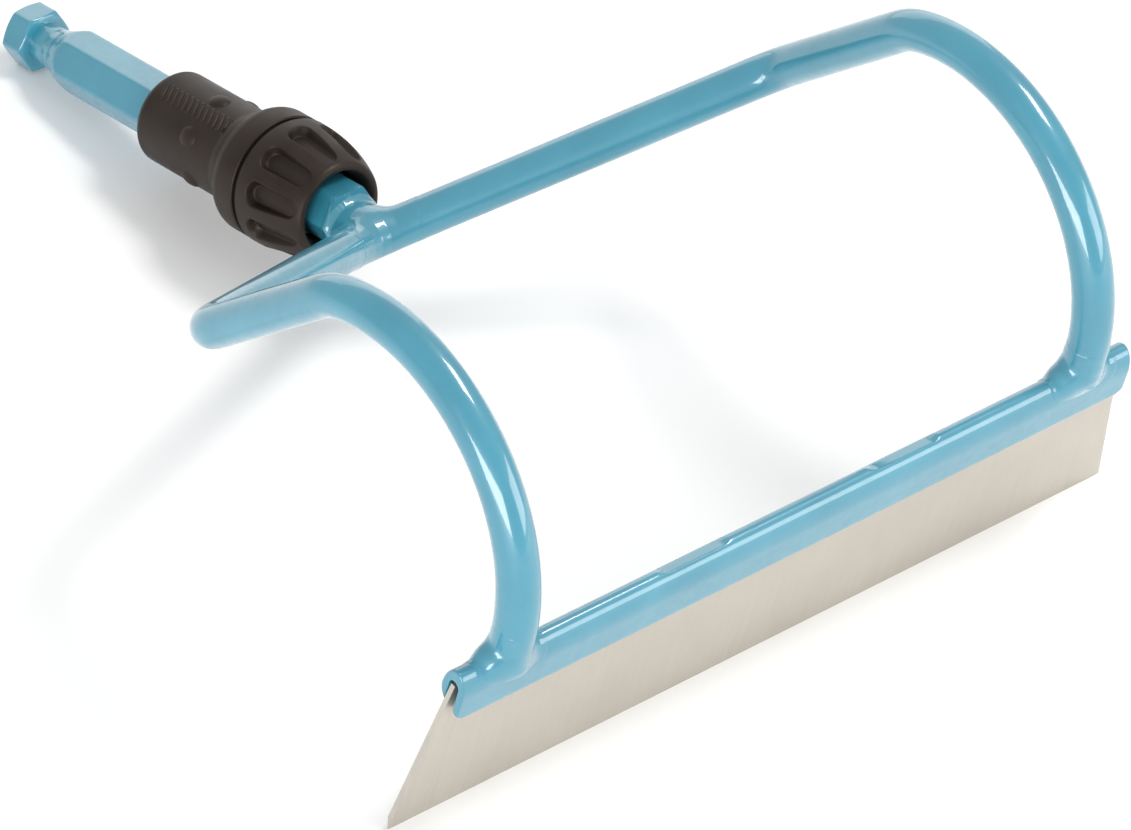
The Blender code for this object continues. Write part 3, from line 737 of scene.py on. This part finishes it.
# The nut's outside is its swelling profile, or the wall or floor of a pocket where that is lower.
def nutRings():
    front, back = nut["front"], nut["back"]
    span = back - front
    body = np.linspace(front + nut["bodyFrom"], back - nut["bodyTo"], 140)
    frontEdge = front + np.array(nut["frontSteps"])
    y = np.concatenate([frontEdge, body, back - np.array(nut["backSteps"])])
    t = (back - y) / span
    skin = sleeve["flange"] + nut["proud"] - (sleeve["flange"] - nut["frontRadius"]) * t ** nut["swell"]
    skin[:3] -= nut["frontDrops"]
    skin[-2:] -= nut["backDrops"]
    # columns crowd where the pockets' walls stand
    sector = 2 * math.pi / nut["pockets"]
    away = np.linspace(0, sector / 2, 400)
    dense = 1 + 3.0 * np.exp(-((away * 0.014 - 0.0026) / 0.0007) ** 2)
    summed = np.concatenate([[0], np.cumsum((dense[1:] + dense[:-1]) / 2)])
    halfCols = np.interp(np.linspace(0, summed[-1], 26), summed, away)
    turn = np.concatenate([-halfCols[:0:-1], halfCols[:-1]])
    angle = (math.pi / 2 + sector * np.arange(nut["pockets"])[:, None] + turn[None]).reshape(-1)
    turn = np.tile(turn, nut["pockets"])[:, None]
    # a pocket is a long round-ended hollow; its floor rises toward the flange
    pocketFront, pocketBack = front + nut["pocketFrom"], back - nut["pocketTo"]
    share = (y - pocketFront) / (pocketBack - pocketFront)
    low = nut["frontRadius"] + sleeve["chamfer"]
    high = sleeve["flange"] - nut["pocketDeep"] - nut["frontRadius"] - sleeve["chamfer"]
    floor = low + high * share
    half = nut["pocketHalf"]
    core = np.clip(y, pocketFront + half, pocketBack - half)
    wide = nut["widen"][0] + (nut["widen"][1] - nut["widen"][0]) * share
    fromCore = np.hypot(np.sin(turn) * skin[None] / wide[None], (y - core)[None])
    wall = floor[None] + (fromCore / half - 0.80) / 0.55 * nut["wallRise"]
    wall = softMax(wall, floor[None] + 0 * wall, nut["floor"])
    outerR = softMin(skin[None] + 0 * wall, wall, nut["rim"])
    outside = (y < pocketFront - 0.0006)[None] | (y > pocketBack + 0.002)[None]
    outerR = np.where(outside, skin[None], outerR)
    # inside, from the rear: room for the sleeve's spigot and the wire ring, then the thread and the mouth
    thread = collet["front"] - 0.003 - 2 * gap
    cavity = sleeve["spigotFront"] - 2 * gap
    room = sleeve["spigot"] + gap
    ringRoom = sleeve["spigot"] + nut["ringSpace"]
    ringBack, ringFront = ring["y"] + nut["ringHalf"], ring["y"] - nut["ringHalf"]
    throat = hexCorner + 0.0010
    inner = stepped([
        (sleeve["flange"] - 0.0008, back), (room, back), (room, ringBack), (ringRoom, ringBack),
        (ringRoom, ringFront), (room, ringFront), (room, cavity), (boreR, cavity), (boreR, thread),
        (throat, thread), (throat, front + nut["mouthDeep"]), (nut["mouth"] - 0.0003, front + 0.0004),
        (nut["mouth"], front + 0.0001), (nut["mouth"] + 0.0003, front),
    ], 0.0030)
    innerR, innerY = everyAngle(inner, len(angle))
    radius = np.concatenate([outerR, innerR], 1)
    ys = np.concatenate([np.repeat(y[None], len(angle), 0), innerY], 1)
    return aroundAxis(radius, angle[:, None], ys)


makePiece("nut_moulding", [looped(nutRings())], plastic, "nut", "grip_nut", 40)


# A flat ring with round edges: a rounded oblong section turned round the axis.
def washerRings():
    inner, outer = sleeve["spigot"] + gap, sleeve["flange"] - 0.0007
    a = np.linspace(0, 2 * math.pi, 32, endpoint=False)
    e = washer["round"]
    r = np.where(np.cos(a) > 0, outer - e, inner + e) + e * np.cos(a)
    y = washer["front"] + np.where(np.sin(a) > 0, washer["thick"] - e, e) + e * np.sin(a)
    return aroundAxis(r, np.linspace(0, 2 * math.pi, 180, endpoint=False)[:, None], y)


makePiece("washer_ring", [looped(washerRings())], nylon, "sleeve", "thrust_washer")

ringAngles = np.radians(np.linspace(ring["open"], 360 - ring["open"], 160))
ringR = sleeve["spigot"] - ring["wire"] * 0.35
ringLine = aroundAxis(ringR, ringAngles, ring["y"])
ringRings = sweptRings(ringLine, ring["wire"], 16, (0, 1, 0))
makePiece("snap_ring_wire", [fanned(ringRings)], steel, "sleeve", "snap_ring")


# The collet: a round skin over a hexagonal bore, whole in front and split in two behind.
def colletShell(first, last, start, stop, count, whole):
    back, cone = collet["back"], colletR + collet["cone"]
    outer = [
        (colletR - collet["frontBevel"], collet["front"]), (colletR, collet["front"] + collet["frontBevel"]),
        (colletR, back - collet["coneFrom"]), (cone, back - collet["coneTo"]), (cone, back - collet["bevel"]),
        (cone - collet["bevel"], back),
    ]
    line = stepped(outer, 0.0015)
    line = line[(line[:, 1] >= first - 1e-9) & (line[:, 1] <= last + 1e-9)]
    angle = np.linspace(start, stop, count, endpoint=not whole)[:, None]
    bore = np.minimum(hexRadius(angle, colletFlats, 0.0003), colletR - collet["wall"])
    radius = np.concatenate([line[None, :, 0] + 0 * angle, np.repeat(bore, len(line), 1)], 1)
    y = np.concatenate([line[:, 1], line[::-1, 1]])[None] + 0 * angle
    return aroundAxis(radius, angle, y)


slitAngle = collet["slit"] / 2 / colletR
shells = [looped(colletShell(collet["front"], collet["slitFrom"], 0, 2 * math.pi, 180, True))]
for start in (0, math.pi):
    half = colletShell(
        collet["slitFrom"] - 0.0004, 1.0, start + slitAngle, start + math.pi - slitAngle, 91, False)
    shells.append(hairpin(half))
makePiece("collet_moulding", shells, greyPlastic, "clamp", "collet")
print("pieces made")


studio = {
    "floor": 3.0, "floorColour": (0.93, 0.93, 0.93), "world": (1.0, 1.0, 1.0), "worldStrength": 0.72,
}
lights = {
    # name: (place, aimed at, width, height, watts, colour)
    "backdrop": ((0.85, 1.35, 0.55), (0, 0, 0.05), 1.90, 0.85, 5.0, (1.0, 1.0, 1.0)),
    "top": ((0.60, -0.30, 1.40), (0, 0, 0.05), 0.55, 0.35, 10.0, (1.0, 0.99, 0.97)),
    "front": ((0.95, -1.40, 0.50), (0, 0, 0.02), 1.10, 0.75, 10.5, (1.0, 0.995, 0.98)),
    "left": ((-1.35, -0.85, 0.32), (0, 0, 0.04), 1.20, 0.55, 17.0, (1.0, 1.0, 1.0)),
}
camera = {
    "lens": 291.95, "sensor": 36.0, "place": (-1.15470214, -1.20603853, 1.33769770),
    "azimuth": -45.136684, "elevation": 38.940640, "roll": 6.828790,
}


# A wide square of floor, its pale paint a little uneven.
def makeFloor():
    half = studio["floor"]
    mesh = bpy.data.meshes.new("studio_floor")
    corners = [(-half, -half, 0), (half, -half, 0), (half, half, 0), (-half, half, 0)]
    mesh.from_pydata(corners, [], [(0, 1, 2, 3)])
    made, tree, shader, where = startFinish("studio floor", {"Roughness": 0.9, "Specular IOR Level": 0.1})
    pale = studio["floorColour"]
    stops = ((0.3, tuple(0.985 * c for c in pale)), (0.7, pale))
    tree.links.new(ramp(tree, noise(tree, where, 4.0, 3), *stops), shader.inputs["Base Color"])
    mesh.materials.append(made)
    floor = bpy.data.objects.new("studio_floor", mesh)
    bpy.context.scene.collection.objects.link(floor)


def makeLights():
    for name, (place, aim, width, height, watts, colour) in lights.items():
        lamp = bpy.data.lights.new(name, "AREA")
        lamp.shape = "RECTANGLE"
        lamp.size, lamp.size_y, lamp.energy, lamp.color = width, height, watts, colour
        obj = bpy.data.objects.new(name, lamp)
        obj.rotation_mode = "QUATERNION"
        obj.location = place
        obj.rotation_quaternion = (Vector(aim) - Vector(place)).to_track_quat("-Z", "Y")
        bpy.context.scene.collection.objects.link(obj)
    world = bpy.data.worlds.new("studio")
    world.use_nodes = True
    sky = world.node_tree.nodes["Background"]
    sky.inputs["Color"].default_value = (*studio["world"], 1)
    sky.inputs["Strength"].default_value = studio["worldStrength"]
    bpy.context.scene.world = world


def makeCamera():
    data = bpy.data.cameras.new("camera")
    data.lens, data.sensor_width = camera["lens"], camera["sensor"]
    data.clip_start, data.clip_end = 0.05, 20
    obj = bpy.data.objects.new("camera", data)
    bpy.context.scene.collection.objects.link(obj)
    azimuth, elevation, roll = (math.radians(camera[k]) for k in ("azimuth", "elevation", "roll"))
    turn = Matrix.Rotation(azimuth, 4, "Z") @ Matrix.Rotation(math.pi / 2 - elevation, 4, "X")
    obj.matrix_world = Matrix.Translation(camera["place"]) @ turn @ Matrix.Rotation(roll, 4, "Z")
    bpy.context.scene.camera = obj


makeFloor()
makeLights()
makeCamera()
bpy.context.scene.view_settings.view_transform = "Standard"
print("floor, lights and camera made")
